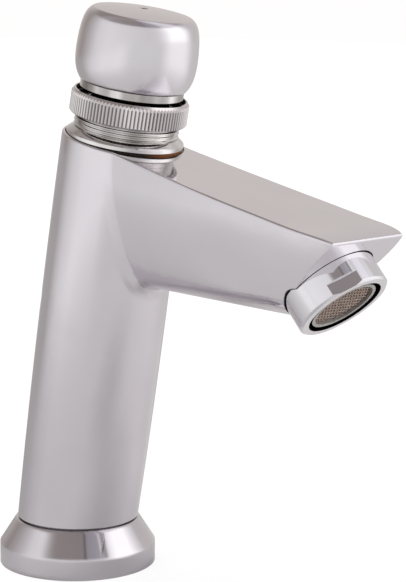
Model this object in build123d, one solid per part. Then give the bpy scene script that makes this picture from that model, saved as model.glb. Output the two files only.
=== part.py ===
from build123d import *
from math import cos, hypot, pi, radians, sin, tan
import os

# Push timed tap: a leaning cast body with its spout, on a coned base ring, with a
# self-closing cartridge under a large push button and a screw-in aerator.
# Millimetres. The origin is the centre of the base ring's underside, +Z is up and
# the spout points along +X. The tap is symmetric about the plane Y = 0.

# Directions, in degrees
column_lean = 9.8
neck_lean = 11.6
top_slope = 12.6
aerator_tilt = 41.5
nose_tilt = 44.0

# General clearances and overruns
overrun = 30.0
fit_clearance = 0.05
running_clearance = 0.08

# Base ring
ring_top_radius = 19.2
ring_flare = 4.7
ring_edge_height = 6.2
ring_height = 13.9
ring_wall = 2.2
ring_ledge_width = 2.0
ring_ledge_height = 6.0
ring_lip_round = 0.4
gasket_margin = 1.6
gasket_width = 4.6
gasket_thickness = 1.5

# Body column and foot
column_radius = 18.95
column_foot_draw = 0.6
column_head_draw = 0.5
column_belly_height = 60.0
column_length = 118.65
foot_allowance = 5.0
shadow_gap = 0.5
inlet_radius = 4.6
inlet_depth = 12.0
strainer_pocket_radius = 4.0
strainer_bore_radius = 3.5
strainer_bore_depth = 10.0
supply_radius = 3.3
stud_radius = 2.5
stud_depth = 14.0
stud_pitch = 22.5

# Spout
spout_half_width = 17.4
root_half_width = 15.6
widening_start = 8.0
widening_length = 50.0
spout_root_depth = 42.5
under_slope = 1.8
spout_start = -6.0
spout_reach = 93.8
nose_overhang = 3.0
corner_length = 20.0
corner_beyond = 3.4
corner_power = 4.0
crown_length = 12.0
crown_height = -0.4
crown_drop = 0.75
top_allowance = 4.0
root_blend = 5.0
edge_round = 0.7
top_line_shares = (
    (-0.64, 0.0149), (-0.235, 0.0075), (0.0, 0.0035), (0.213, -0.001), (0.416, -0.0046),
    (0.586, -0.0062), (0.725, -0.0056),
)
section_station_shares = (
    0.0, 0.1, 0.2, 0.3, 0.4, 0.5, 0.6, 0.7, 0.78, 0.84, 0.89, 0.93, 0.965, 1.0,
)
section_outline_shares = (
    (1.0, 0.0), (0.992, 0.12), (0.968, 0.25), (0.905, 0.42),
    (0.81, 0.6), (0.67, 0.79), (0.4, 0.945),
)
channel_radius = 5.0
channel_drop = 25.0

# Cartridge bores in the body, heights along the neck axis from the seat face
seat_drop = 0.6
seat_recess_radius = 17.6
head_bore_radius = 14.2
head_bore_depth = 12.5
chamber_radius = 13.0
valve_room_radius = 10.6
valve_room_depth = 12.0

# Collar washer and cartridge head
washer_thickness = 0.7
washer_inner_radius = 14.4
washer_outer_radius = 17.1
collar_radius = 17.35
collar_height = 1.7
collar_edge = 0.35
collar_cone_height = 1.1
neck_thread_radius = 15.5
neck_thread_depth = 0.6
neck_thread_pitch = 1.15
head_cup_radius = 11.6
head_cup_depth = 8.0
head_spigot_length = 3.0
head_nose_length = 4.5
seal_groove_width = 2.0
seal_groove_depth = 1.1
seal_section_radius = 0.52

# Knurled lock ring
knurl_radius = 17.3
knurl_depth = 0.38
knurl_count = 96
knurl_ring_height = 7.0
knurl_ring_gap = 4.0
knurl_ring_bore_radius = 16.1
knurl_ring_chamfer = 0.45
knurl_bevel_width = 0.7
knurl_bevel_height = 1.0

# Push button, its sleeve and its set screw
button_travel = 2.5
button_clearance = 0.3
sleeve_radius = 15.2
sleeve_gap = 0.8
sleeve_neck_radius = 13.3
sleeve_neck_height = 5.0
sleeve_wall = 1.6
sleeve_web = 3.0
button_lift = 2.95
button_height = 22.25
button_mouth_radius = 15.5
button_belly_radius = 17.75
button_side_shares = (
    (0.9455, 0.096), (0.987, 0.226), (1.0, 0.396), (0.9855, 0.5945), (0.948, 0.778),
    (0.901, 0.872),
)
button_rim_radius = 14.4
button_rim_share = 0.943
button_cavity_radius = 12.6
button_cavity_share = 0.8
button_boss_radius = 6.2
stem_socket_depth = 8.0
grub_radius = 1.2
grub_recess = 0.5

# Stem, piston and timing sleeve
stem_radius = 4.0
stem_tail_radius = 3.0
stem_thread_radius = 2.0
clip_radius = 4.8
clip_groove_radius = 2.4
clip_thickness = 0.8
piston_radius = 9.3
piston_height = 5.0
piston_gap = 8.0
lip_seal_width = 2.0
lip_seal_depth = 1.4
lip_seal_flare = 0.12
sleeve_bore_radius = 9.5
timing_wall = 1.5
timing_floor = 3.0
timing_leg_height = 4.0
timing_leg_count = 4
timing_leg_width = 4.0

# Return spring
spring_radius = 6.9
spring_wire_radius = 0.6
spring_length = 11.5
spring_turns = 5
wire_sides = 8

# Valve
seat_height = 4.5
seat_orifice_radius = 5.5
seat_lip_radius = 6.4
seat_lip_height = 0.5
valve_washer_radius = 7.9
valve_washer_thickness = 2.0
holder_wall = 0.8
holder_floor = 1.5
holder_rim = 0.9
nut_flats = 7.0
nut_height = 2.4

# Inlet strainer
strainer_flange = 0.8
strainer_wall = 0.6
strainer_gap = 0.3
strainer_length = 7.0
strainer_slot_count = 8
strainer_slot_width = 0.9
strainer_slot_length = 4.5

# Aerator
aerator_centre_drop = 19.4
aerator_seat_depth = 0.35
aerator_gap = 0.25
aerator_seat_clearance = 0.3
aerator_socket_radius = 12.0
aerator_socket_depth = 6.8
aerator_radius = 13.46
aerator_length = 9.0
aerator_bevel = 0.6
aerator_mouth_radius = 11.1
aerator_bore_radius = 10.9
aerator_ledge_radius = 10.2
aerator_ledge_height = 3.0
aerator_ledge_thickness = 1.0
aerator_thread_length = 5.0
flat_turn = 39.0
flat_depth = 0.75
flat_height = 3.2
aerator_washer_bore = 8.4
insert_radius = 9.8
insert_recess = 0.45
insert_wall = 1.0
insert_bore_radius = 8.0
mesh_recess = 0.8
mesh_thickness = 0.6

# Sampling and symmetry
edge_shares = (0.0, 0.25, 0.5, 0.75, 1.0)
tooth_share = 0.5
half_turn = 180.0
full_turn = 360.0

# Base ring and gasket, from the ring's top edge
ring_radius = ring_top_radius + ring_flare
ring_bore_radius = ring_top_radius - ring_wall
ring_ledge_radius = ring_bore_radius - ring_ledge_width
gasket_outer_radius = ring_radius - gasket_margin
gasket_inner_radius = gasket_outer_radius - gasket_width

# Depths of the cartridge, from the seat face down
timing_length = piston_gap + piston_height + spring_length + timing_floor
timing_end = head_bore_depth + head_nose_length + timing_length
chamber_depth = timing_end + timing_leg_height + seat_height

# Frames that the pieces are placed in
lean_direction = Vector(sin(radians(column_lean)), 0, cos(radians(column_lean)))
ring_top = Vector(0, 0, ring_height)
top_centre = ring_top + lean_direction * column_length
column_frame = Location(ring_top, (0, column_lean, 0))
top_frame = Location(top_centre, (0, top_slope, 0))
neck_frame = Location(top_centre, (0, neck_lean, 0)) * Pos(0, 0, -seat_drop)
face_along = -cos(radians(aerator_tilt + top_slope))
face_down = -sin(radians(aerator_tilt + top_slope))
aerator_place = Pos(
    spout_reach + face_along * aerator_centre_drop, 0, face_down * aerator_centre_drop
)
aerator_frame = top_frame * aerator_place * Rot(0, half_turn - aerator_tilt - top_slope, 0)
nose_frame = top_frame * Pos(spout_reach, 0, 0) * Rot(0, half_turn - nose_tilt - top_slope, 0)

# Heights along the neck axis, from the seat face of the cartridge head
collar_foot = washer_thickness
collar_top = collar_foot + collar_height + collar_cone_height
knurl_foot = collar_top + knurl_ring_gap
knurl_top = knurl_foot + knurl_ring_height
sleeve_foot = knurl_top + sleeve_gap
head_top = sleeve_foot - button_travel - button_clearance
button_foot = knurl_top + button_lift
button_top = button_foot + button_height
sleeve_top = button_foot + sleeve_neck_height
stem_top = sleeve_top + stem_socket_depth
head_cup_floor = -head_cup_depth
head_foot = -head_bore_depth - head_nose_length
timing_foot = head_foot - timing_length
piston_top = head_foot - piston_gap
piston_foot = piston_top - piston_height
timing_floor_top = timing_foot + timing_floor
seat_foot = -chamber_depth
seat_top = timing_foot - timing_leg_height
washer_top = seat_foot - seat_lip_height
holder_top = washer_top - valve_washer_thickness
holder_foot = holder_top - holder_floor
stem_foot = holder_foot - nut_height
aerator_shoulder = -aerator_seat_depth + aerator_gap
aerator_foot = aerator_shoulder - aerator_thread_length
head_seal_height = -head_bore_depth - head_nose_length / 2
stem_seal_height = (head_cup_floor + head_foot) / 2


def turned(points):
    """Solid of revolution about Z from a closed outline of (radius, height) points."""
    outline = Polyline(*[(radius, 0, height) for radius, height in points], close=True)
    return revolve(make_face(outline), Axis.Z)


def tube(outer, inner, foot, top):
    """Plain ring or tube between two heights."""
    return turned([(inner, foot), (outer, foot), (outer, top), (inner, top)])


def disc(radius, foot, top):
    """Plain cylinder between two heights."""
    return turned([(0, foot), (radius, foot), (radius, top), (0, top)])


def seal_ring(outer, section, height):
    """Ring of nearly round section whose outer radius is given."""
    points = []
    for side in range(wire_sides):
        turn = 2 * pi * side / wire_sides
        points.append((outer - section + section * cos(turn), height + section * sin(turn)))
    return turned(points)


def write(shape, name):
    """Write one node."""
    shape.label = name
    export_step(shape, "parts/" + name + ".step")


def base_ring():
    """Coned rosette with a bore and a ledge for the body's foot and a gasket groove."""
    outline = [
        (ring_ledge_radius, 0), (gasket_inner_radius, 0),
        (gasket_inner_radius, gasket_thickness), (gasket_outer_radius, gasket_thickness),
        (gasket_outer_radius, 0), (ring_radius, 0), (ring_radius, ring_edge_height),
        (ring_top_radius, ring_height - ring_lip_round),
        (ring_top_radius - ring_lip_round, ring_height),
        (ring_bore_radius, ring_height), (ring_bore_radius, ring_ledge_height),
        (ring_ledge_radius, ring_ledge_height),
    ]
    return turned(outline)


def base_gasket():
    """Flat gasket that fills the groove under the base ring."""
    return tube(
        gasket_outer_radius - fit_clearance, gasket_inner_radius + fit_clearance,
        0, gasket_thickness,
    )


def spout_depth(station):
    """Depth of the underside below the sloping top, at a distance along the top."""
    return spout_root_depth - station * tan(radians(top_slope - under_slope))


def spout_width(station):
    """Half width of the spout in plan: widening from the root, then drawn in at the tip."""
    share = min(1.0, max(0.0, (station - widening_start) / widening_length))
    grown = share * share * (3 - share - share)
    width = root_half_width + (spout_half_width - root_half_width) * grown
    past = station - spout_reach + corner_length
    share = max(0.0, past / (corner_length + corner_beyond))
    return width * (1 - share ** corner_power) ** (1 / corner_power)


def spout_section(station):
    """Section of the spout: flat top, converging sides and a rounded underside."""
    half_width = spout_width(station)
    depth = spout_depth(station)
    right = [(half_width, top_allowance)]
    for across, down in section_outline_shares:
        right.append((half_width * across, -depth * down))
    left = [(-across, height) for across, height in reversed(right)]
    round_side = Spline(*right, (0, -depth), *left, tangents=((0, -1), (0, 1)))
    plane = Plane(origin=(station, 0, 0), x_dir=(0, 1, 0), z_dir=(1, 0, 0))
    return plane * make_face([*round_side.edges(), *Line(left[-1], right[0]).edges()])


def spout():
    """Spout before its top, nose and tip are cut, in the frame of the sloping top."""
    length = spout_reach + nose_overhang - spout_start
    stations = [spout_start + length * share for share in section_station_shares]
    return loft([spout_section(station) for station in stations])


def cut_face(edges):
    """Face in the plane Y = 0 from chained edges drawn in (X, Z)."""
    plane = Plane(origin=(0, 0, 0), x_dir=(1, 0, 0), z_dir=(0, -1, 0))
    return plane * make_face([edge for part in edges for edge in part.edges()])


def top_cutter():
    """Everything above the top: slightly hollow along the spout, then crowned to the tip."""
    line = [(spout_reach * along, spout_reach * up) for along, up in top_line_shares]
    line.append((spout_reach - crown_length, crown_height))
    line.append((spout_reach, -crown_drop))
    beyond = (spout_reach + crown_length, -crown_drop - overrun / 2)
    edges = [
        Spline(*line, beyond),
        Polyline(beyond, (beyond[0], overrun), (line[0][0], overrun), line[0]),
    ]
    return extrude(cut_face(edges), overrun, both=True)


def rod(start, end, radius):
    """Straight round bar between two points."""
    direction = end - start
    plane = Plane(origin=start, z_dir=direction)
    bar = Cylinder(radius, direction.length, align=(Align.CENTER, Align.CENTER, Align.MIN))
    return plane * bar


def radius_at(height):
    """Radius of the column at a height along its axis, drawn in towards both ends."""
    rise = height - column_belly_height
    if rise < 0:
        return column_radius - column_foot_draw * (rise / column_belly_height) ** 2
    return column_radius - column_head_draw * (rise / (column_length - column_belly_height)) ** 2


def column():
    """Leaning column, long enough at both ends to be cut."""
    length = foot_allowance + column_length + top_allowance
    heights = [length * share - foot_allowance for share in edge_shares]
    side = [(radius_at(height), height) for height in heights]
    edges = [Spline(*side), Polyline(side[-1], (0, heights[-1]), (0, heights[0]), side[0])]
    return column_frame * Rot(0, 0, half_turn) * revolve(cut_face(edges), Axis.Z)


def from_frame(frame, point):
    """Coordinates of a point in a frame."""
    return (frame.inverse() * Pos(*point)).position


def at_root(edge):
    """True for an edge where the spout leaves the column, below the top."""
    middle = edge.position_at(0.5)
    in_column = from_frame(column_frame, middle)
    in_top = from_frame(top_frame, middle)
    off = abs(hypot(in_column.X, in_column.Y) - radius_at(in_column.Z))
    above_foot = in_top.X > 0 and in_top.Z > -spout_root_depth
    return off < edge_round and above_foot and in_top.Z < -edge_round


def on_top(edge):
    """True for an edge that runs round the sloping top face."""
    heights = [from_frame(top_frame, edge.position_at(share)).Z for share in edge_shares]
    return max(heights) < top_allowance / 2 and min(heights) > -crown_drop - edge_round


def body_form():
    """Column and spout as one casting, with blended root and rounded top edges."""
    blank = column() + top_frame * spout() - top_frame * top_cutter()
    size = spout_reach + overrun
    nose = Box(size, size, overrun, align=(Align.CENTER, Align.CENTER, Align.MIN))
    blank = blank - nose_frame * nose
    foot_face = ring_height + shadow_gap
    below = Box(size, size, size, align=(Align.CENTER, Align.CENTER, Align.MAX))
    blank = blank - Pos(0, 0, foot_face) * below
    blank = fillet([edge for edge in blank.edges() if at_root(edge)], root_blend)
    return fillet([edge for edge in blank.edges() if on_top(edge)], edge_round)


def tap_body():
    """The casting with its foot, cartridge bores, waterways and aerator socket."""
    foot_face = ring_height + shadow_gap
    spigot = disc(ring_bore_radius - fit_clearance, ring_ledge_height, foot_face + shadow_gap)
    boss = disc(ring_ledge_radius - fit_clearance, 0, ring_ledge_height)
    solid = body_form() + spigot + boss
    bores = [
        disc(seat_recess_radius, 0, overrun),
        disc(head_bore_radius, -head_bore_depth, 0),
        disc(chamber_radius, -chamber_depth, 0),
        disc(valve_room_radius, -chamber_depth - valve_room_depth, 0),
    ]
    for bore in bores:
        solid = solid - neck_frame * bore
    strainer_top = inlet_depth + strainer_bore_depth
    solid = solid - disc(inlet_radius, 0, inlet_depth)
    solid = solid - disc(strainer_pocket_radius, 0, inlet_depth + strainer_flange)
    solid = solid - disc(strainer_bore_radius, 0, strainer_top)
    supply_start = Vector(0, 0, strainer_top - supply_radius)
    supply_end = (neck_frame * Pos(0, 0, -chamber_depth - valve_room_depth)).position
    reach = supply_end + (supply_end - supply_start).normalized() * supply_radius
    solid = solid - rod(supply_start, reach, supply_radius)
    stud = disc(stud_radius, 0, stud_depth)
    for side in (1, -1):
        solid = solid - Pos(0, side * stud_pitch / 2, 0) * stud
    recess = disc(aerator_radius + aerator_seat_clearance, -aerator_seat_depth, overrun)
    socket = disc(aerator_socket_radius, -aerator_socket_depth, 0)
    solid = solid - aerator_frame * recess - aerator_frame * socket
    channel_start = (neck_frame * Pos(0, 0, -channel_drop)).position
    channel_end = (aerator_frame * Pos(0, 0, -aerator_socket_depth - channel_radius)).position
    outlet_end = (aerator_frame * Pos(0, 0, -aerator_socket_depth + channel_radius)).position
    solid = solid - rod(channel_start, channel_end, channel_radius)
    solid = solid - rod(channel_end, outlet_end, channel_radius)
    return solid - Pos(*channel_end) * Sphere(channel_radius)


def collar_washer():
    """Fibre washer between the seat and the collar of the head."""
    return neck_frame * tube(washer_outer_radius, washer_inner_radius, 0, washer_thickness)


def thread_outline(crest, depth, foot, top, pitch):
    """Outline points of the ridges of a thread, drawn as rings from foot to top."""
    points = []
    count = int((top - foot) / pitch)
    for index in range(count):
        start = foot + index * pitch
        points.append((crest - depth, start))
        points.append((crest, start + pitch / 2))
    points.append((crest - depth, foot + count * pitch))
    points.append((crest - depth, top))
    return points


def seal_groove(wall, height, inward):
    """Outline points of a ring groove, cut into a wall at a height."""
    root = wall - inward * seal_groove_depth
    half = seal_groove_width / 2
    return [
        (wall, height - half), (root, height - half),
        (root, height + half), (wall, height + half),
    ]


def cartridge_head():
    """Turned head: nose with a seal, body thread, collar, ring thread and a deep cup."""
    nose = chamber_radius - fit_clearance
    thread = head_bore_radius - fit_clearance
    spigot = sleeve_bore_radius - fit_clearance
    bore = stem_radius + running_clearance
    band_top = collar_foot + collar_height
    outline = [(bore, head_foot - head_spigot_length), (spigot, head_foot - head_spigot_length)]
    outline += [(spigot, head_foot), (nose, head_foot)]
    outline += seal_groove(nose, head_seal_height, 1)
    outline += [(nose, -head_bore_depth), (thread, -head_bore_depth), (thread, collar_foot)]
    outline += [
        (collar_radius - collar_edge, collar_foot), (collar_radius, collar_foot + collar_edge),
        (collar_radius, band_top - collar_edge), (collar_radius - collar_edge, band_top),
        (neck_thread_radius, collar_top),
    ]
    outline += thread_outline(
        neck_thread_radius, neck_thread_depth, collar_top, head_top, neck_thread_pitch
    )
    outline += [(head_cup_radius, head_top), (head_cup_radius, head_cup_floor)]
    outline += [(bore, head_cup_floor)]
    outline += list(reversed(seal_groove(bore, stem_seal_height, -1)))
    return neck_frame * turned(outline)


def head_seal():
    """Ring in the nose groove of the head."""
    nose = chamber_radius - fit_clearance
    return neck_frame * seal_ring(nose, seal_section_radius, head_seal_height)


def stem_seal():
    """Ring round the stem in the bore of the head."""
    outer = stem_radius + running_clearance + seal_section_radius + seal_section_radius
    return neck_frame * seal_ring(outer, seal_section_radius, stem_seal_height)


def knurled_ring():
    """Lock ring with straight teeth round it, chamfered top and bottom."""
    tips = []
    for index in range(knurl_count):
        for step, radius in ((0, knurl_radius), (tooth_share, knurl_radius - knurl_depth)):
            turn = 2 * pi * (index + step) / knurl_count
            tips.append((radius * cos(turn), radius * sin(turn)))
    star = extrude(make_face(Polyline(*tips, close=True)), knurl_ring_height)
    cone_inner = knurl_radius - knurl_ring_chamfer
    thread = neck_thread_radius + fit_clearance
    form = turned([
        (thread, knurl_foot), (cone_inner, knurl_foot),
        (knurl_radius, knurl_foot + knurl_ring_chamfer),
        (knurl_radius, knurl_top - knurl_bevel_height),
        (knurl_radius - knurl_bevel_width, knurl_top), (knurl_ring_bore_radius, knurl_top),
        (knurl_ring_bore_radius, head_top), (thread, head_top),
    ])
    return neck_frame * (Pos(0, 0, knurl_foot) * star & form)


def button_sleeve():
    """Short neck under the button, with a web round the stem."""
    bore = stem_radius + fit_clearance
    inner = sleeve_neck_radius - sleeve_wall
    return neck_frame * turned([
        (inner, sleeve_foot), (sleeve_radius, sleeve_foot), (sleeve_radius, button_foot),
        (sleeve_neck_radius, button_foot), (sleeve_neck_radius, sleeve_top),
        (bore, sleeve_top), (bore, sleeve_top - sleeve_web), (inner, sleeve_top - sleeve_web),
    ])


def push_button():
    """Barrel-shaped cap, domed on top, hollow below, with a boss for the stem."""
    side = [(button_mouth_radius, button_foot)]
    for across, up in button_side_shares:
        side.append((button_belly_radius * across, button_foot + button_height * up))
    rim_height = button_foot + button_height * button_rim_share
    rim = (button_rim_radius, rim_height)
    crown = (button_rim_radius / 2, button_top - (button_top - rim_height) / 4)
    shell = sleeve_neck_radius + fit_clearance
    socket = stem_radius + fit_clearance
    grub_bore = grub_radius + fit_clearance
    cavity_top = button_foot + button_height * button_cavity_share
    edges = [
        Spline(*side, rim),
        ThreePointArc(rim, crown, (0, button_top)),
        Polyline((0, button_top), (0, button_foot), (button_mouth_radius, button_foot)),
    ]
    blank = revolve(cut_face(edges), Axis.Z)
    cavity = tube(button_cavity_radius, button_boss_radius, sleeve_top, cavity_top)
    mouth = disc(shell, button_foot, sleeve_top)
    blank = blank - cavity - mouth - disc(socket, button_foot, stem_top)
    return neck_frame * (blank - disc(grub_bore, stem_top, button_top))


def button_grub():
    """Small set screw in the middle of the button, against the end of the stem."""
    screw = disc(grub_radius, stem_top, button_top - grub_recess)
    return neck_frame * screw


def stem():
    """Spindle from the button to the valve, stepped under the piston and at the valve."""
    return neck_frame * turned([
        (0, stem_foot), (stem_thread_radius, stem_foot), (stem_thread_radius, washer_top),
        (stem_tail_radius, washer_top), (stem_tail_radius, piston_foot - clip_thickness),
        (clip_groove_radius, piston_foot - clip_thickness), (clip_groove_radius, piston_foot),
        (stem_tail_radius, piston_foot), (stem_tail_radius, piston_top),
        (stem_radius, piston_top), (stem_radius, stem_top), (0, stem_top),
    ])


def piston():
    """Piston on the stem's step, with a groove for its lip seal."""
    bore = stem_tail_radius + fit_clearance
    middle = (piston_top + piston_foot) / 2
    root = piston_radius - lip_seal_depth
    half = lip_seal_width / 2
    return neck_frame * turned([
        (bore, piston_foot), (piston_radius, piston_foot), (piston_radius, middle - half),
        (root, middle - half), (root, middle + half), (piston_radius, middle + half),
        (piston_radius, piston_top), (bore, piston_top),
    ])


def lip_seal():
    """Seal in the piston's groove, flared at the top edge."""
    middle = (piston_top + piston_foot) / 2
    root = piston_radius - lip_seal_depth
    half = lip_seal_width / 2
    flared = piston_radius + lip_seal_flare
    return neck_frame * turned([
        (root, middle - half), (piston_radius - lip_seal_flare, middle - half),
        (flared, middle + half), (root, middle + half),
    ])


def piston_clip():
    """Open clip in the stem's groove, under the piston."""
    ring = tube(clip_radius, clip_groove_radius, piston_foot - clip_thickness, piston_foot)
    gap = Pos(0, 0, piston_foot) * Box(
        clip_radius, clip_groove_radius, clip_radius, align=(Align.MIN, Align.CENTER, Align.CENTER)
    )
    return neck_frame * (ring - gap)


def timing_sleeve():
    """Cylinder of the timing chamber, with a floor and legs that stand on the seat."""
    outer = sleeve_bore_radius + timing_wall
    bore = stem_tail_radius + running_clearance
    cup = turned([
        (bore, timing_foot), (outer, timing_foot), (outer, head_foot),
        (sleeve_bore_radius, head_foot), (sleeve_bore_radius, timing_floor_top),
        (bore, timing_floor_top),
    ])
    skirt = tube(outer, sleeve_bore_radius, seat_top, timing_foot)
    leg = Box(
        outer, timing_leg_width, timing_foot - seat_top,
        align=(Align.MIN, Align.CENTER, Align.MIN),
    )
    for index in range(timing_leg_count):
        turn = Rot(0, 0, full_turn * index / timing_leg_count)
        cup = cup + (skirt & Pos(0, 0, seat_top) * turn * leg)
    return neck_frame * cup


def return_spring():
    """Coil spring between the floor of the timing sleeve and the piston."""
    foot = timing_floor_top + spring_wire_radius + fit_clearance
    height = piston_foot - spring_wire_radius - fit_clearance - foot
    path = Pos(0, 0, foot) * Helix(height / spring_turns, height, spring_radius)
    plane = Plane(origin=path @ 0, z_dir=path % 0)
    section = plane * RegularPolygon(spring_wire_radius, wire_sides)
    return neck_frame * sweep(section, path, is_frenet=True)


def valve_seat():
    """Seat ring on the ledge of the chamber, with a lip towards the washer."""
    outer = chamber_radius - fit_clearance
    middle = (seat_top + seat_foot) / 2
    outline = [
        (seat_orifice_radius, washer_top), (seat_lip_radius, washer_top),
        (seat_lip_radius, seat_foot), (outer, seat_foot),
    ]
    outline += seal_groove(outer, middle, 1)
    outline += [(outer, seat_top), (seat_orifice_radius, seat_top)]
    return neck_frame * turned(outline)


def seat_seal():
    """Ring in the groove of the valve seat."""
    middle = (seat_top + seat_foot) / 2
    return neck_frame * seal_ring(chamber_radius - fit_clearance, seal_section_radius, middle)


def valve_washer():
    """Rubber washer that closes against the seat's lip."""
    bore = stem_thread_radius + fit_clearance
    return neck_frame * tube(valve_washer_radius, bore, holder_top, washer_top)


def valve_holder():
    """Shallow cup that carries the washer."""
    bore = stem_thread_radius + fit_clearance
    inner = valve_washer_radius + fit_clearance
    rim_top = holder_top + holder_rim
    return neck_frame * turned([
        (bore, holder_foot), (inner + holder_wall, holder_foot),
        (inner + holder_wall, rim_top), (inner, rim_top), (inner, holder_top),
        (bore, holder_top),
    ])


def valve_nut():
    """Hexagon nut on the foot of the stem."""
    hexagon = RegularPolygon(nut_flats / 2, 6, major_radius=False)
    nut = Pos(0, 0, stem_foot) * extrude(hexagon, nut_height)
    return neck_frame * (nut - disc(stem_thread_radius + fit_clearance, stem_foot, holder_foot))


def inlet_strainer():
    """Slotted cup in the inlet, held by its flange."""
    flange_radius = strainer_pocket_radius - fit_clearance
    outer = strainer_bore_radius - strainer_gap
    inner = outer - strainer_wall
    ledge = inlet_depth + strainer_flange
    top = inlet_depth + strainer_length
    cup = turned([
        (inner, inlet_depth), (flange_radius, inlet_depth),
        (flange_radius, ledge), (outer, ledge), (outer, top), (0, top),
        (0, top - strainer_wall), (inner, top - strainer_wall),
    ])
    slot = Pos(0, 0, ledge) * Box(
        flange_radius, strainer_slot_width, strainer_slot_length,
        align=(Align.MIN, Align.CENTER, Align.MIN),
    )
    for index in range(strainer_slot_count):
        cup = cup - Rot(0, 0, full_turn * index / strainer_slot_count) * slot
    return cup


def aerator_housing():
    """Screw-in housing with a bevelled mouth, an inner ledge and two wrench flats."""
    mouth = aerator_length
    ledge_top = aerator_ledge_height + aerator_ledge_thickness
    thread = aerator_socket_radius - fit_clearance
    shell = turned([
        (aerator_bore_radius, aerator_foot), (thread, aerator_foot), (thread, aerator_shoulder),
        (aerator_radius, aerator_shoulder), (aerator_radius, mouth - aerator_bevel),
        (aerator_radius - aerator_bevel, mouth), (aerator_mouth_radius, mouth),
        (aerator_mouth_radius, ledge_top), (aerator_ledge_radius, ledge_top),
        (aerator_ledge_radius, aerator_ledge_height), (aerator_bore_radius, aerator_ledge_height),
    ])
    flat = Pos(aerator_radius - flat_depth, 0, mouth - aerator_bevel - flat_height) * Box(
        aerator_radius, aerator_radius + aerator_radius, flat_height + aerator_bevel,
        align=(Align.MIN, Align.CENTER, Align.MIN),
    )
    for turn in (0, half_turn):
        shell = shell - Rot(0, 0, half_turn + flat_turn + turn) * flat
    return aerator_frame * shell


def aerator_washer():
    """Flat washer between the socket floor and the aerator."""
    outer = aerator_socket_radius - fit_clearance
    return aerator_frame * tube(outer, aerator_washer_bore, -aerator_socket_depth, aerator_foot)


def aerator_insert():
    """Rimmed insert that hangs on the ledge of the housing and carries the screen."""
    rim = aerator_length - insert_recess
    seat = rim - mesh_recess
    flange = aerator_bore_radius - fit_clearance
    return aerator_frame * turned([
        (insert_bore_radius, aerator_foot), (flange, aerator_foot),
        (flange, aerator_ledge_height), (insert_radius, aerator_ledge_height),
        (insert_radius, rim), (insert_radius - insert_wall, rim),
        (insert_radius - insert_wall, seat - mesh_thickness),
        (insert_bore_radius, seat - mesh_thickness),
    ])


def aerator_mesh():
    """Woven screen in the rim of the insert."""
    seat = aerator_length - insert_recess - mesh_recess
    radius = insert_radius - insert_wall - fit_clearance
    return aerator_frame * disc(radius, seat - mesh_thickness, seat)


pieces = (
    tap_body, base_ring, base_gasket, collar_washer, cartridge_head, head_seal, stem_seal,
    knurled_ring, button_sleeve, push_button, button_grub, stem, piston, lip_seal,
    piston_clip, timing_sleeve, return_spring, valve_seat, seat_seal, valve_washer,
    valve_holder, valve_nut, inlet_strainer, aerator_housing, aerator_washer,
    aerator_insert, aerator_mesh,
)
os.makedirs("parts", exist_ok=True)
for piece in pieces:
    write(piece(), piece.__name__)
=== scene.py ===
from math import cos, pi, radians, sin

import bmesh
import bpy
from mathutils import Matrix, Vector


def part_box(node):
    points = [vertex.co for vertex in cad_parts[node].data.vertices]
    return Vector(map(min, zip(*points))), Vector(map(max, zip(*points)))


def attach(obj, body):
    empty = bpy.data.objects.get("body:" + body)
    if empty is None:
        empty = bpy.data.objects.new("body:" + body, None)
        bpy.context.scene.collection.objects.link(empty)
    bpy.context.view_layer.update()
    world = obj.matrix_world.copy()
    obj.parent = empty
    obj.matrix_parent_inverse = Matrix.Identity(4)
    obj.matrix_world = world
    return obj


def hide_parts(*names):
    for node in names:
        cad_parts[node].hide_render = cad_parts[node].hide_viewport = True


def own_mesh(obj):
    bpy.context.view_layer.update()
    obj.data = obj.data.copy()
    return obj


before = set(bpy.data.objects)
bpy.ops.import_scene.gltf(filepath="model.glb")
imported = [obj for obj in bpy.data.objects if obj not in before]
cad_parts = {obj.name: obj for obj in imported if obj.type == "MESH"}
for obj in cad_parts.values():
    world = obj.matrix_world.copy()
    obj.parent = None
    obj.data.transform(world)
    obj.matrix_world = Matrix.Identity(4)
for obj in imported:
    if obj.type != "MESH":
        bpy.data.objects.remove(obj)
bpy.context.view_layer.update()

# Camera, fitted to the outlines in the photograph: degrees, metres and pixels

AZIMUTH = 42.41
ELEVATION = 8.78
ROLL = 0.42
DISTANCE = 0.53568
TARGET = Vector((0.05183, 0.0, 0.08958))
FOCAL_PIXELS = 1878.88
LONG_SIDE_PIXELS = 582
SENSOR = 36.0

# Directions and places that the looks share with the solids, in metres

UP = Vector((0.0, 0.0, 1.0))
FAR_SIDE = Vector((0.0, 1.0, 0.0))
NECK_LEAN = radians(11.6)
NECK_AXIS = Vector((sin(NECK_LEAN), 0.0, cos(NECK_LEAN)))
NECK_SEAT = Vector((0.02007, 0.0, 0.13023))
AERATOR_TILT = radians(41.5)
AERATOR_AXIS = Vector((sin(AERATOR_TILT), 0.0, -cos(AERATOR_TILT)))
AERATOR_MOUTH = Vector((0.10317, 0.0, 0.09076))
BUTTON_TRAVEL = 0.0025

# Painted shade in gaps and recesses: heights along the aerator's or the neck's axis, and
# distances from it

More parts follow.
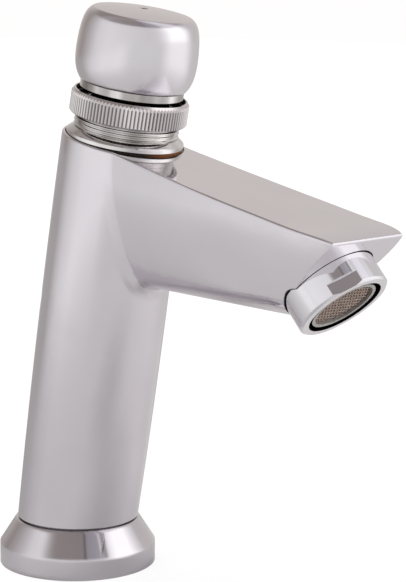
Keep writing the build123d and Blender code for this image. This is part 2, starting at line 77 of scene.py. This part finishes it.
SOCKET_DEEP = -0.0098
SOCKET_NEAR = -0.0078
SOCKET_RADIUS = 0.01384
SEAT_LOW = -0.001
SEAT_HIGH = 0.0011
SEAT_RADIUS = 0.01782
FOOT_DARK = 0.0142
FOOT_CLEAR = 0.0146
TOOTH_ROOT = 0.0165
TOOTH_FLANK = 0.01709
KNURL_TOP = 0.0130
KNURL_BORE = 0.01618
THREAD_ROOT = 0.01490
THREAD_FLANK = 0.01508
HEAD_RIM = 0.01120
HEAD_TOP = 0.01125
HOUSING_BORE = 0.01112
INSERT_RIM_BACK = -0.00062
INSERT_RIM_FRONT = -0.00052
INSERT_BORE = 0.0098
INSERT_WALL = 0.0100
CRISP = 0.00002
SOFT = 0.00003
SOFTER = 0.00005

# Turns round the neck, as shares of a turn, between which the collar's washer shows its own
# colour, on the side towards the right-hand soft box; elsewhere it is painted dark as shade

LIT_FROM = 0.46
LIT_TO = 0.70
LIT_EDGE = 0.03

# Woven screen across the aerator's mouth, in metres

SCREEN_RADIUS = 0.00872
SCREEN_PITCH = 0.00096
SCREEN_TURN = radians(38.0)
WIRE_RADIUS = 0.00015
WIRE_SIDES = 5
WAVE_HEIGHT = 0.00014
STEPS_PER_PITCH = 3.4
FEWEST_STEPS = 4


def add_camera():
    a, e, r = radians(AZIMUTH), radians(ELEVATION), radians(ROLL)
    back = Vector((sin(a) * cos(e), -cos(a) * cos(e), sin(e)))
    level = Vector((cos(a), sin(a), 0.0))
    upright = back.cross(level)
    right = cos(r) * level + sin(r) * upright
    up = -sin(r) * level + cos(r) * upright
    data = bpy.data.cameras.new("photo_camera")
    data.sensor_width = SENSOR
    data.lens = FOCAL_PIXELS / LONG_SIDE_PIXELS * SENSOR
    data.clip_start = 0.01
    data.clip_end = 50.0
    camera = bpy.data.objects.new("photo_camera", data)
    place = Matrix((right, up, back)).transposed().to_4x4()
    place.translation = TARGET + DISTANCE * back
    camera.matrix_world = place
    bpy.context.collection.objects.link(camera)
    bpy.context.scene.camera = camera


# Node helpers

class Nodes:
    """Builds one shader tree with few words."""

    def __init__(self, tree):
        self.tree = tree
        tree.nodes.clear()

    def add(self, kind, **settings):
        """A node. Each setting goes to the socket of that name, or to the node itself."""
        node = self.tree.nodes.new(kind)
        for key, value in settings.items():
            if key in node.inputs:
                self.set(node, key, value)
            else:
                setattr(node, key, value)
        return node

    def set(self, node, key, value):
        if isinstance(value, bpy.types.NodeSocket):
            self.tree.links.new(value, node.inputs[key])
        else:
            node.inputs[key].default_value = value

    def place(self):
        """Place on the surface, in metres in the shared frame."""
        return self.add("ShaderNodeTexCoord").outputs["Object"]

    def math(self, operation, first, second=0.0):
        node = self.add("ShaderNodeMath", operation=operation)
        self.set(node, 0, first)
        self.set(node, 1, second)
        return node.outputs[0]

    def vector_math(self, operation, first, second):
        node = self.add("ShaderNodeVectorMath", operation=operation)
        self.set(node, 0, first)
        self.set(node, 1, second)
        return node.outputs

    def dot(self, vector, direction):
        return self.vector_math("DOT_PRODUCT", vector, direction)["Value"]

    def distance(self, vector, point):
        return self.vector_math("DISTANCE", vector, point)["Value"]

    def span(self, value, low, high, to_low=0.0, to_high=1.0, kind="LINEAR"):
        """A value from low to high, moved to another span and held at its ends."""
        node = self.add("ShaderNodeMapRange", interpolation_type=kind)
        for key, item in (("Value", value), ("From Min", low), ("From Max", high),
                          ("To Min", to_low), ("To Max", to_high)):
            self.set(node, key, item)
        return node.outputs[0]

    def smooth(self, value, low, high, to_low=0.0, to_high=1.0):
        return self.span(value, low, high, to_low, to_high, "SMOOTHSTEP")

    def within(self, value, limit, soft):
        """1 below a limit and 0 above it."""
        return self.span(value, limit - soft, limit + soft, 1.0, 0.0)

    def between(self, value, low, high, soft):
        """1 between two values and 0 outside them."""
        rise = self.span(value, low - soft, low + soft)
        return self.math("MULTIPLY", rise, self.within(value, high, soft))

    def noise(self, scale, detail=3.0, roughness=0.5, vector=None):
        node = self.add("ShaderNodeTexNoise", Scale=scale, Detail=detail, Roughness=roughness)
        self.set(node, "Vector", self.place() if vector is None else vector)
        return node.outputs["Fac"]

    def ramp(self, value, stops):
        node = self.add("ShaderNodeValToRGB")
        self.set(node, "Fac", value)
        ramp = node.color_ramp
        while len(ramp.elements) < len(stops):
            ramp.elements.new(0.5)
        for element, (place, colour) in zip(ramp.elements, stops):
            element.position = place
            element.color = (*colour, 1.0)
        return node.outputs["Color"]

    def drift(self, scale, detail, low, high):
        """Colour that drifts between two tones."""
        return self.ramp(self.noise(scale, detail), ((0.3, low), (0.7, high)))

    def haze(self, scale, detail, low, high, roughness=0.5):
        """Number that drifts between two values."""
        return self.span(self.noise(scale, detail, roughness), 0.3, 0.7, low, high)

    def blend(self, share, first, second):
        """Mix of two colours, each a socket or three numbers."""
        node = self.add("ShaderNodeMix", data_type="RGBA")
        factor, first_colour, second_colour, mixed = 0, 6, 7, 2
        self.set(node, factor, share)
        for index, colour in ((first_colour, first), (second_colour, second)):
            if not isinstance(colour, bpy.types.NodeSocket):
                colour = (*colour, 1.0)
            self.set(node, index, colour)
        return node.outputs[mixed]

    def bump(self, height, distance, normal=None):
        node = self.add("ShaderNodeBump", Strength=1.0, Distance=distance, Height=height)
        if normal is not None:
            self.set(node, "Normal", normal)
        return node.outputs["Normal"]

    def rounded_edges(self, radius):
        return self.add("ShaderNodeBevel", samples=6, Radius=radius).outputs["Normal"]

    def turn(self, side, front):
        """Angle from front towards side, as a share of a turn, with front at a half."""
        return self.span(self.math("ARCTAN2", side, front), -pi, pi)

    def about_axis(self, origin, axis):
        """Distance from an axis, height along it and turn round it."""
        away = self.vector_math("SUBTRACT", self.place(), origin)[0]
        along, side, front = (
            self.dot(away, toward) for toward in (axis, FAR_SIDE, FAR_SIDE.cross(axis))
        )
        square = self.math("ADD", self.math("MULTIPLY", side, side),
                           self.math("MULTIPLY", front, front))
        return self.math("SQRT", square), along, self.turn(side, front)

    def round_the_neck(self, scale, detail):
        """Noise that changes with the turn round the neck alone, and so makes bands."""
        _, _, turn = self.about_axis(NECK_SEAT, NECK_AXIS)
        return self.noise(scale, detail, 0.5, self.add("ShaderNodeCombineXYZ", X=turn).outputs[0])

    def mirrored_ray(self, path):
        """1 for what polished metal and glass see."""
        return self.math("MAXIMUM", path.outputs["Is Glossy Ray"],
                         path.outputs["Is Transmission Ray"])

    def shader(self, kind, **sockets):
        node = self.add(kind)
        for key, value in sockets.items():
            self.set(node, key.replace("_", " "), value)
        return node.outputs[0]

    def either(self, share, first, second):
        """The first shader, and the second one by its share."""
        node = self.add("ShaderNodeMixShader")
        for index, value in enumerate((share, first, second)):
            self.set(node, index, value)
        return node.outputs[0]

    def finish(self, shader, kind="ShaderNodeOutputMaterial"):
        self.set(self.add(kind), "Surface", shader)

    def surface(self, **sockets):
        self.finish(self.shader("ShaderNodeBsdfPrincipled", **sockets))


def material(name):
    made = bpy.data.materials.new(name)
    made.use_nodes = True
    return made, Nodes(made.node_tree)


# Finishes

# near-black metal, painted into recesses as shade
PAINTED_SHADE_METAL = (0.028, 0.026, 0.025)
# near-black plastic, painted into recesses as shade
PAINTED_SHADE_PLASTIC = (0.03, 0.028, 0.026)
# dark brown painted on the washer as shade
PAINTED_SHADE_FIBRE = (0.022, 0.014, 0.010)
# dark band painted round the cartridge head as reflection
PAINTED_REFLECTION_BAND = (0.20, 0.19, 0.18)


def chrome(name, low, high, rough, wave, edge, grain=0.0, painted_shade=None, painted_bands=0.0):
    """Plated and polished: soft tone drift, faint polishing haze and a slight unevenness.
    Recesses, given as a function, hold painted shade in near-black metal. Bands of painted dark
    reflection run round the neck."""
    made, n = material(name)
    colour = n.drift(38.0, 2.0, low, high)
    if painted_bands:
        # painted bands of dark reflection round the neck
        bands = n.span(n.round_the_neck(9.0, 1.0), 0.44, 0.6, 0.0, painted_bands)
        colour = n.blend(bands, colour, PAINTED_REFLECTION_BAND)
    if painted_shade:
        # painted shade in the recesses
        colour = n.blend(painted_shade(n), colour, PAINTED_SHADE_METAL)
    rough = n.haze(240.0, 4.0, *rough, roughness=0.6)
    normal = n.bump(n.noise(55.0, 1.0), wave, n.rounded_edges(edge))
    if grain:
        normal = n.bump(n.noise(2600.0, 2.0), grain, normal)
    n.surface(Base_Color=colour, Metallic=1.0, Roughness=rough, Normal=normal)
    return made


def painted_bands_metal(name):
    """Plated, with broad bands of painted reflection and shade round the neck."""
    made, n = material(name)
    # painted reflection and shade: tone from dark to bright by turn round the neck
    colour = n.ramp(n.round_the_neck(11.0, 2.0), (
        (0.36, (0.30, 0.28, 0.27)), (0.5, (0.50, 0.48, 0.47)), (0.62, (0.78, 0.76, 0.76)),
    ))
    rough = n.haze(420.0, 3.0, 0.08, 0.16)
    n.surface(Base_Color=colour, Metallic=1.0, Roughness=rough, Normal=n.rounded_edges(0.0001))
    return made


def turned_metal(name, low, high):
    """Lathe-turned metal with fine tool lines across its axis."""
    made, n = material(name)
    tool_lines = n.math("SINE", n.math("MULTIPLY", n.dot(n.place(), NECK_AXIS), 5200.0))
    normal = n.bump(tool_lines, 0.000008, n.rounded_edges(0.00015))
    n.surface(Base_Color=n.drift(160.0, 3.0, low, high), Metallic=1.0,
              Roughness=n.haze(420.0, 3.0, 0.16, 0.26), Normal=normal)
    return made


def wire_metal(name, low, high, rough):
    made, n = material(name)
    n.surface(Base_Color=n.drift(700.0, 3.0, low, high), Metallic=1.0,
              Roughness=n.haze(1800.0, 3.0, rough * 0.8, rough * 1.3),
              Normal=n.bump(n.noise(5000.0, 2.0), 0.000006))
    return made


def rubber(name):
    made, n = material(name)
    colour = n.ramp(n.noise(900.0, 5.0, 0.6),
                    ((0.3, (0.012, 0.012, 0.013)), (0.7, (0.03, 0.03, 0.032))))
    n.surface(Base_Color=colour, Roughness=n.haze(1500.0, 3.0, 0.5, 0.75),
              Normal=n.bump(n.noise(4200.0, 3.0), 0.00002))
    return made


def moulded(name, low, high, rough, painted_shade=None):
    made, n = material(name)
    colour = n.drift(220.0, 3.0, low, high)
    if painted_shade:
        # painted shade in the recesses
        colour = n.blend(painted_shade(n), colour, PAINTED_SHADE_PLASTIC)
    normal = n.bump(n.noise(3000.0, 2.0), 0.000012, n.rounded_edges(0.00015))
    n.surface(Base_Color=colour, Roughness=n.haze(1300.0, 4.0, rough * 0.8, rough * 1.25),
              Normal=normal)
    return made


def fibre(name):
    """Pressed fibre sheet: orange-brown with a fine fleck, painted dark as shade except on the
    side towards the right-hand soft box.
    """
    made, n = material(name)
    fleck = n.noise(2400.0, 6.0, 0.7)
    fleck_colour = n.ramp(fleck, (
        (0.25, (0.20, 0.07, 0.02)), (0.6, (0.38, 0.14, 0.045)), (0.85, (0.50, 0.24, 0.10)),
    ))
    _, _, turn = n.about_axis(NECK_SEAT, NECK_AXIS)
    # painted shade: dark outside the turns that face the right-hand soft box
    shaded = n.math("SUBTRACT", 1.0, n.between(turn, LIT_FROM, LIT_TO, LIT_EDGE))
    n.surface(Base_Color=n.blend(shaded, fleck_colour, PAINTED_SHADE_FIBRE),
              Roughness=n.span(fleck, 0.2, 0.8, 0.9, 0.6), Normal=n.bump(fleck, 0.00004))
    return made


def body_painted_shade(n):
    """Painted shade on the wall of the aerator's socket, in the seat of the head and in the gap
    at the foot.
    """
    radius, along, _ = n.about_axis(AERATOR_MOUTH, AERATOR_AXIS)
    socket = n.math("MULTIPLY", n.between(along, SOCKET_DEEP, SOCKET_NEAR, CRISP),
                    n.within(radius, SOCKET_RADIUS, SOFT))
    radius, along, _ = n.about_axis(NECK_SEAT, NECK_AXIS)
    seat = n.math("MULTIPLY", n.between(along, SEAT_LOW, SEAT_HIGH, CRISP),
                  n.within(radius, SEAT_RADIUS, SOFT))
    # painted shade: a dark line just above the base ring, for the gap at the foot
    foot = n.span(n.dot(n.place(), UP), FOOT_DARK, FOOT_CLEAR, 0.85, 0.0)
    return n.math("MAXIMUM", foot, n.math("MAXIMUM", socket, seat))


def knurl_painted_shade(n):
    """Painted shade in the gaps between the teeth, and in the bore above the head."""
    radius, along, _ = n.about_axis(NECK_SEAT, NECK_AXIS)
    teeth = n.math("MULTIPLY", n.between(radius, TOOTH_ROOT, TOOTH_FLANK, SOFTER),
                   n.between(along, 0.0, KNURL_TOP, SOFTER))
    return n.math("MAXIMUM", n.math("MULTIPLY", teeth, 0.66),
                  n.within(radius, KNURL_BORE, SOFT))


def head_painted_shade(n):
    """Painted shade in the roots of the thread, on the top and in the cup."""
    radius, along, _ = n.about_axis(NECK_SEAT, NECK_AXIS)
    return n.math("MAXIMUM", n.span(radius, THREAD_ROOT, THREAD_FLANK, 0.35, 0.0),
                  n.span(along, HEAD_RIM, HEAD_TOP))


def housing_painted_shade(n):
    """Painted shade in the bore round the insert."""
    radius, _, _ = n.about_axis(AERATOR_MOUTH, AERATOR_AXIS)
    return n.within(radius, HOUSING_BORE, CRISP)


def insert_painted_shade(n):
    """Painted shade on the outside wall of the insert, behind its rim, and less so on its bore.
    """
    radius, along, _ = n.about_axis(AERATOR_MOUTH, AERATOR_AXIS)
    return n.math("MULTIPLY", n.span(along, INSERT_RIM_BACK, INSERT_RIM_FRONT, 0.9, 0.0),
                  n.span(radius, INSERT_BORE, INSERT_WALL, 0.55, 1.0))


body_chrome = chrome(
    "body_chrome", (0.70, 0.67, 0.705), (0.74, 0.71, 0.745), rough=(0.055, 0.1),
    wave=0.00007, edge=0.0004, painted_shade=body_painted_shade,
)
ring_chrome = chrome(
    "ring_chrome", (0.64, 0.61, 0.64), (0.72, 0.69, 0.72), rough=(0.03, 0.06),
    wave=0.00005, edge=0.0013,
)
button_chrome = chrome(
    "button_chrome", (0.70, 0.67, 0.70), (0.74, 0.71, 0.74), rough=(0.17, 0.22),
    wave=0.00004, edge=0.0003,
)
knurl_chrome = chrome(
    "knurl_chrome", (0.60, 0.56, 0.56), (0.70, 0.66, 0.66), rough=(0.08, 0.16),
    wave=0.00002, edge=0.00005, grain=0.000003, painted_shade=knurl_painted_shade,
)
head_chrome = chrome(
    "head_chrome", (0.74, 0.72, 0.71), (0.86, 0.84, 0.83), rough=(0.04, 0.1),
    wave=0.00003, edge=0.0001, grain=0.000002, painted_shade=head_painted_shade, painted_bands=0.34,
)
aerator_chrome = chrome(
    "aerator_chrome", (0.72, 0.70, 0.73), (0.80, 0.78, 0.81), rough=(0.04, 0.09),
    wave=0.00003, edge=0.0002, painted_shade=housing_painted_shade,
)
neck_chrome = painted_bands_metal("neck_chrome")
brass = turned_metal("turned_brass", (0.52, 0.35, 0.13), (0.66, 0.47, 0.2))
steel = wire_metal("drawn_steel", (0.42, 0.42, 0.43), (0.56, 0.56, 0.57), 0.3)
dark_steel = wire_metal("dark_steel", (0.035, 0.033, 0.032), (0.08, 0.075, 0.07), 0.4)
mesh_wire = wire_metal("mesh_wire", (0.40, 0.31, 0.27), (0.64, 0.52, 0.45), 0.25)
pale_plastic = moulded("pale_plastic", (0.66, 0.65, 0.6), (0.74, 0.73, 0.68), 0.4)
insert_plastic = moulded(
    "insert_plastic", (0.90, 0.86, 0.82), (0.95, 0.92, 0.89), 0.2, insert_painted_shade
)
black_rubber = rubber("black_rubber")
fibre_washer = fibre("fibre_washer")

FINISHES = {
    "tap_body": body_chrome, "base_ring": ring_chrome, "push_button": button_chrome,
    "button_sleeve": neck_chrome, "knurled_ring": knurl_chrome, "cartridge_head": head_chrome,
    "aerator_housing": aerator_chrome, "collar_washer": fibre_washer,
    "button_grub": dark_steel, "stem": brass, "valve_seat": brass, "valve_holder": brass,
    "valve_nut": brass, "piston": pale_plastic, "timing_sleeve": pale_plastic,
    "inlet_strainer": pale_plastic, "aerator_insert": insert_plastic,
    "return_spring": steel, "piston_clip": steel, "aerator_mesh": mesh_wire,
    "base_gasket": black_rubber, "head_seal": black_rubber, "stem_seal": black_rubber,
    "seat_seal": black_rubber, "lip_seal": black_rubber, "valve_washer": black_rubber,
    "aerator_washer": black_rubber,
}
for node, finish in FINISHES.items():
    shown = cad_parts[node]
    shown.data.materials.clear()
    shown.data.materials.append(finish)


# Woven screen of the aerator

def mesh_frame():
    """Centre and directions of the screen, taken from the plate that it stands for."""
    low, high = (Vector(corner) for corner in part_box("aerator_mesh"))
    front = AERATOR_AXIS.cross(FAR_SIDE)
    across = FAR_SIDE * cos(SCREEN_TURN) + front * sin(SCREEN_TURN)
    return (low + high) / 2, across, AERATOR_AXIS.cross(across)


def add_wire(made, places, sideways):
    """Thin tube through places that lie square to the direction sideways."""
    turns = [2 * pi * side / WIRE_SIDES for side in range(WIRE_SIDES)]
    rings = [
        [
            made.verts.new(
                place + sideways * (WIRE_RADIUS * cos(turn))
                + AERATOR_AXIS * (WIRE_RADIUS * sin(turn))
            )
            for turn in turns
        ]
        for place in places
    ]
    for first, second in zip(rings, rings[1:]):
        for side in range(WIRE_SIDES):
            follow = (side + 1) % WIRE_SIDES
            face = made.faces.new((first[side], first[follow], second[follow], second[side]))
            face.smooth = True
    made.faces.new(rings[0])
    made.faces.new(reversed(rings[-1]))


def woven_screen():
    """Two sets of waving wires that pass over and under each other."""
    made = bmesh.new()
    centre, across, along = mesh_frame()
    count = int(SCREEN_RADIUS / SCREEN_PITCH)
    for forward, sideways, phase in ((across, along, 0.0), (along, across, pi)):
        for row in range(-count, count + 1):
            offset = row * SCREEN_PITCH
            half = (SCREEN_RADIUS ** 2 - offset ** 2) ** 0.5
            steps = max(FEWEST_STEPS, int(half * 2 / SCREEN_PITCH * STEPS_PER_PITCH))
            places = []
            for step in range(steps + 1):
                reach = -half + 2 * half * step / steps
                height = WAVE_HEIGHT * cos(pi * reach / SCREEN_PITCH + phase + pi * row)
                places.append(
                    centre + forward * reach + sideways * offset + AERATOR_AXIS * height
                )
            add_wire(made, places, sideways)
    bmesh.ops.recalc_face_normals(made, faces=made.faces)
    mesh = bpy.data.meshes.new("woven_screen")
    made.to_mesh(mesh)
    made.free()
    mesh.materials.append(mesh_wire)
    piece = bpy.data.objects.new("woven_screen", mesh)
    bpy.context.collection.objects.link(piece)
    return piece


screen = woven_screen()
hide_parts("aerator_mesh")
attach(screen, "tap")


# Return spring: a copy of its solid, with its foot and the share of its length left when the
# button is pressed

def shortening_spring():
    """The spring's coils, their foot, and the share of their length left when pressed."""
    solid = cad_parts["return_spring"]
    mesh = solid.data.copy()
    mesh.name = "coiled_spring"
    piece = bpy.data.objects.new("coiled_spring", mesh)
    piece.matrix_world = solid.matrix_world
    bpy.context.collection.objects.link(piece)
    heights = [(corner.co - NECK_SEAT).dot(NECK_AXIS) for corner in mesh.vertices]
    foot = NECK_SEAT + min(heights) * NECK_AXIS
    return piece, foot, 1.0 - BUTTON_TRAVEL / (max(heights) - min(heights))


spring, spring_foot, spring_keep = shortening_spring()
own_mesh(spring)
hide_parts("return_spring")
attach(spring, "tap")


# Floor, world and lamps

AHEAD = Vector((sin(radians(AZIMUTH)), -cos(radians(AZIMUTH)), 0.0))
ASIDE = Vector((cos(radians(AZIMUTH)), sin(radians(AZIMUTH)), 0.0))

# Light that polished metal sees round the studio, by the turn in degrees from the
# front: near eye level, high up, and off the floor close by and further out
EYE_LEVEL = (
    (-180, (0.71, 0.67, 0.64)), (-160, (0.60, 0.57, 0.54)), (-143, (0.46, 0.43, 0.41)),
    (-128, (0.38, 0.35, 0.33)), (-113, (0.50, 0.48, 0.46)), (-98, (0.66, 0.64, 0.65)),
    (-83, (0.85, 0.85, 0.85)), (-60, (0.94, 0.94, 0.95)), (-30, (0.88, 0.88, 0.89)),
    (0, (0.82, 0.82, 0.82)), (22, (0.78, 0.77, 0.77)), (40, (0.84, 0.83, 0.83)),
    (56, (1.15, 1.15, 1.16)), (66, (1.50, 1.50, 1.50)), (100, (1.48, 1.48, 1.48)),
    (110, (1.05, 1.05, 1.05)), (124, (0.68, 0.66, 0.65)), (160, (0.68, 0.65, 0.63)),
    (180, (0.71, 0.67, 0.64)),
)
HIGH_UP = (
    (-180, (0.38, 0.34, 0.32)), (-120, (0.33, 0.29, 0.28)), (-116, (0.20, 0.18, 0.17)),
    (-110, (0.36, 0.33, 0.32)), (-85, (0.44, 0.41, 0.41)), (-74, (0.42, 0.39, 0.38)),
    (-70, (0.36, 0.33, 0.32)), (-20, (0.32, 0.29, 0.28)), (14, (0.31, 0.28, 0.28)),
    (18, (0.16, 0.14, 0.14)), (22, (0.36, 0.34, 0.37)), (50, (0.46, 0.45, 0.48)),
    (56, (0.22, 0.20, 0.20)), (62, (0.90, 0.88, 0.90)), (74, (0.72, 0.70, 0.73)),
    (86, (0.95, 0.94, 0.98)), (104, (0.95, 0.94, 0.98)), (120, (0.50, 0.47, 0.47)),
    (180, (0.38, 0.34, 0.32)),
)
FLOOR_NEAR = (
    (-180, (0.60, 0.58, 0.58)), (-165, (0.40, 0.38, 0.38)), (-150, (0.42, 0.40, 0.40)),
    (-118, (0.50, 0.49, 0.49)), (-95, (0.62, 0.62, 0.62)), (-70, (0.68, 0.68, 0.68)),
    (0, (0.65, 0.65, 0.65)), (60, (0.69, 0.69, 0.69)), (95, (0.74, 0.73, 0.73)),
    (150, (0.70, 0.69, 0.68)), (165, (0.50, 0.48, 0.48)), (180, (0.60, 0.58, 0.58)),
)
FLOOR_FAR = (
    (-180, (0.60, 0.58, 0.58)), (-150, (0.46, 0.44, 0.43)), (-120, (0.48, 0.46, 0.45)),
    (-95, (0.80, 0.80, 0.80)), (-68, (0.98, 0.98, 0.98)), (-28, (1.02, 1.02, 1.02)),
    (-8, (0.82, 0.82, 0.82)), (45, (0.80, 0.80, 0.80)), (65, (1.15, 1.15, 1.15)),
    (100, (1.15, 1.15, 1.15)), (125, (0.72, 0.71, 0.70)), (180, (0.60, 0.58, 0.58)),
)
TOP_LEVEL = 1.5        # brightest value that the tables hold
HIGH_FROM = radians(38.0)
HIGH_TO = radians(46.0)
WHITE = (1.0, 1.0, 1.0, 1.0)
WORLD_WHITE = (1.0, 0.99, 0.99, 1.0)
MATT_LIGHT = 0.42      # world's strength for surfaces that do not mirror it
LAMP_TINT = (1.0, 0.99, 0.985)
LAMP_AIM = Vector((0.045, 0.0, 0.09))

# Floor, in metres
FLOOR_HALF = 6.0
PAPER_LOW = (0.18, 0.18, 0.18)
PAPER_HIGH = (0.20, 0.20, 0.20)
FLOOR_LIT = 1.04       # light that the floor gets from the lamps and the world
NEAR_TO = 0.12
FAR_FROM = 0.6
GLOW_FROM = 0.2
GLOW_TO = 1.2
GLOW_AT_OBJECT = 0.84
# Painted shadows on the floor's colour as the metal sees it: round the foot, and a spot in front
# of the spout
FOOT_CENTRE = (0.04, 0.0, 0.0)
FOOT_FROM = 0.02
FOOT_TO = 0.24
FOOT_SHADE = 0.97
PAINTED_SHADOW_SPOT = (0.125, -0.055, 0.0)
PAINTED_SHADOW_FROM = 0.01
PAINTED_SHADOW_TO = 0.075
PAINTED_SHADOW_LEVEL = 0.88


def round_the_studio(n, vector, table):
    """A table's colour at a direction's turn, divided by TOP_LEVEL to fit a ramp."""
    share = n.turn(n.dot(vector, ASIDE), n.dot(vector, AHEAD))
    stops = [(degrees / 360 + 0.5, [part / TOP_LEVEL for part in colour])
             for degrees, colour in table]
    return n.ramp(share, stops)


def camera_paper(n, path, distance):
    """Paper that takes the object's shadow, lifted to white for the camera."""
    paper = n.drift(3.0, 2.0, PAPER_LOW, PAPER_HIGH)
    lit = n.shader("ShaderNodeBsdfDiffuse", Color=paper)
    fill = n.span(distance, GLOW_FROM, GLOW_TO, GLOW_AT_OBJECT, 1.0)
    strength = n.math("MULTIPLY", path.outputs["Is Camera Ray"], fill)
    glow = n.shader("ShaderNodeEmission", Color=WHITE, Strength=strength)
    both = n.add("ShaderNodeAddShader")
    n.set(both, 0, lit)
    n.set(both, 1, glow)
    return both.outputs[0]


def mirrored_paper(n, place, distance):
    """The metal's paper: the near tone, painted lighter and darker by turn, takes the shadow and
    two painted shadows, at the foot and in front of the spout; the far one is its own light.
    """
    # painted shadows: round the foot, and in front of the spout
    foot = n.smooth(n.distance(place, FOOT_CENTRE), FOOT_FROM, FOOT_TO, FOOT_SHADE, 1.0)
    spot = n.smooth(n.distance(place, PAINTED_SHADOW_SPOT), PAINTED_SHADOW_FROM, PAINTED_SHADOW_TO, PAINTED_SHADOW_LEVEL, 1.0)
    level = n.math("MULTIPLY", n.math("MULTIPLY", foot, spot), TOP_LEVEL / FLOOR_LIT)
    scaled = n.add("ShaderNodeVectorMath", operation="SCALE", Scale=level)
    n.set(scaled, 0, round_the_studio(n, place, FLOOR_NEAR))
    near = n.shader("ShaderNodeBsdfDiffuse", Color=scaled.outputs[0])
    far = n.shader("ShaderNodeEmission", Color=round_the_studio(n, place, FLOOR_FAR),
                   Strength=TOP_LEVEL)
    return n.either(n.smooth(distance, NEAR_TO, FAR_FROM), near, far)


def add_floor():
    """Pale paper: white to the camera but for the object's shadow, and to the metal a
    paper lit less evenly."""
    mesh = bpy.data.meshes.new("floor")
    half = FLOOR_HALF
    mesh.from_pydata([(-half, -half, 0), (half, -half, 0), (half, half, 0), (-half, half, 0)],
                     [], [(0, 1, 2, 3)])
    floor = bpy.data.objects.new("floor", mesh)
    bpy.context.collection.objects.link(floor)
    made, n = material("pale_floor")
    place = n.place()
    distance = n.distance(place, (0.0, 0.0, 0.0))
    path = n.add("ShaderNodeLightPath")
    n.finish(n.either(n.mirrored_ray(path), camera_paper(n, path, distance),
                      mirrored_paper(n, place, distance)))
    mesh.materials.append(made)


def add_world():
    """White to the camera, plain for matt surfaces, and the studio for shiny ones."""
    world = bpy.data.worlds.new("studio")
    world.use_nodes = True
    bpy.context.scene.world = world
    n = Nodes(world.node_tree)
    direction = n.add("ShaderNodeTexCoord").outputs["Generated"]
    upward = n.smooth(n.dot(direction, UP), sin(HIGH_FROM), sin(HIGH_TO))
    studio = n.blend(upward, round_the_studio(n, direction, EYE_LEVEL),
                     round_the_studio(n, direction, HIGH_UP))
    path = n.add("ShaderNodeLightPath")
    shiny = n.shader("ShaderNodeBackground", Color=studio, Strength=TOP_LEVEL)
    matt = n.shader("ShaderNodeBackground", Color=WORLD_WHITE, Strength=MATT_LIGHT)
    plain = n.shader("ShaderNodeBackground", Color=WORLD_WHITE, Strength=1.0)
    lighting = n.either(n.mirrored_ray(path), matt, shiny)
    n.finish(n.either(path.outputs["Is Camera Ray"], lighting, plain), "ShaderNodeOutputWorld")


def add_lamp(name, turn, lift, distance, width, height, power):
    """Soft box. Turn is counted from the camera's side, positive to its right. The metal
    sees it as part of the studio, so its own reflection is left out."""
    azimuth = radians(AZIMUTH + turn)
    raised = radians(lift)
    away = Vector((sin(azimuth) * cos(raised), -cos(azimuth) * cos(raised), sin(raised)))
    data = bpy.data.lights.new(name, "AREA")
    data.shape = "RECTANGLE"
    data.size = width
    data.size_y = height
    data.energy = power
    data.color = LAMP_TINT
    lamp = bpy.data.objects.new(name, data)
    lamp.location = LAMP_AIM + away * distance
    lamp.rotation_euler = away.to_track_quat("Z", "Y").to_euler()
    lamp.visible_glossy = False
    bpy.context.collection.objects.link(lamp)


add_floor()
add_world()
add_lamp("right_box", turn=78.0, lift=24.0, distance=1.3, width=0.42, height=1.0, power=4.0)
add_lamp("left_box", turn=-50.0, lift=24.0, distance=1.3, width=0.42, height=1.0, power=3.0)
add_lamp("top_box", turn=20.0, lift=74.0, distance=1.5, width=0.9, height=0.9, power=9.0)
add_lamp("back_box", turn=-150.0, lift=52.0, distance=1.5, width=0.8, height=0.8, power=6.5)
add_camera()

bpy.context.scene.view_settings.view_transform = "Standard"
